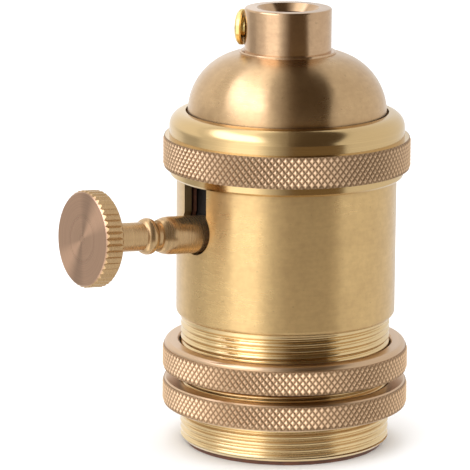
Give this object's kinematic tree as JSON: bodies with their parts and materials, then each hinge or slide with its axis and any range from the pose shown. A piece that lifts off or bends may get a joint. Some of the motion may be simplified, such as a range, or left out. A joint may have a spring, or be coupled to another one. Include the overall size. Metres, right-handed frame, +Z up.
{
  "type": "lamp holder",
  "caption": "Brass lamp holder with a turn-knob switch, knurled shade rings, a union ring over a domed cap, and a threaded cable entry with a clamp screw.",
  "frame": {"origin": "on the holder's axis, at the lower edge of the threaded sleeve", "axes": "+Z up the axis towards the cable entry, the switch knob points towards -X"},
  "size_m": [0.0681, 0.0462, 0.0824],
  "materials": {
    "satin_brass": "satin, drawn and turned brass with a clear lacquer",
    "turned_brass": "fine turned brass, slightly pinkish",
    "knurled_brass": "diamond-knurled brass",
    "bright_brass": "bright yellow brass fasteners",
    "socket_metal": "thin rolled brass sheet",
    "contact_metal": "contact bronze and brass sheet",
    "spring_steel": "spring steel",
    "moulding": "black moulded insulating plastic",
    "fibre": "brown vulcanised fibre"
  },
  "bodies": {
    "holder": {"neck_collar": "turned_brass", "dome_cap": "satin_brass", "body_shell": "satin_brass", "insulating_liner": "fibre", "line_leaf": "contact_metal", "load_leaf": "contact_metal", "detent_spring": "spring_steel", "switch_housing": "moulding", "socket_base": "moulding", "line_terminal": "contact_metal", "neutral_strap": "contact_metal", "terminal_screws": "bright_brass", "assembly_screws": "bright_brass", "shell_rivets": "contact_metal", "contact_rivet": "contact_metal", "centre_contact": "contact_metal", "screw_shell": "socket_metal"},
    "union_ring": {"union_ring": "knurled_brass"},
    "upper_shade_ring": {"upper_shade_ring": "knurled_brass"},
    "lower_shade_ring": {"lower_shade_ring": "knurled_brass"},
    "clamp_screw": {"clamp_screw": "bright_brass"},
    "switch_knob": {"knob": "turned_brass", "switch_spindle": "bright_brass", "switch_rotor": "moulding", "rotor_bridge": "contact_metal"}
  },
  "joints": [
    {"name": "knob_turn", "type": "hinge", "parent": "holder", "child": "switch_knob", "pos_m": [0, 0, 0.03944], "axis": [-0.9972, 0, 0.075], "continuous": true, "deforming": ["line_leaf", "load_leaf", "detent_spring"]},
    {"name": "union_ring_travel", "type": "slide", "parent": "holder", "child": "union_ring", "axis": [0, 0, 1], "range_m": [0, 0.0065]},
    {"name": "upper_shade_ring_travel", "type": "slide", "parent": "holder", "child": "upper_shade_ring", "axis": [0, 0, 1], "range_m": [-0.0008, 0.0047]},
    {"name": "lower_shade_ring_travel", "type": "slide", "parent": "holder", "child": "lower_shade_ring", "axis": [0, 0, 1], "range_m": [-0.0065, 0.0008]},
    {"name": "clamp_screw_travel", "type": "slide", "parent": "holder", "child": "clamp_screw", "axis": [-0.6534, 0.757, 0], "range_m": [0, 0.003]}
  ]
}
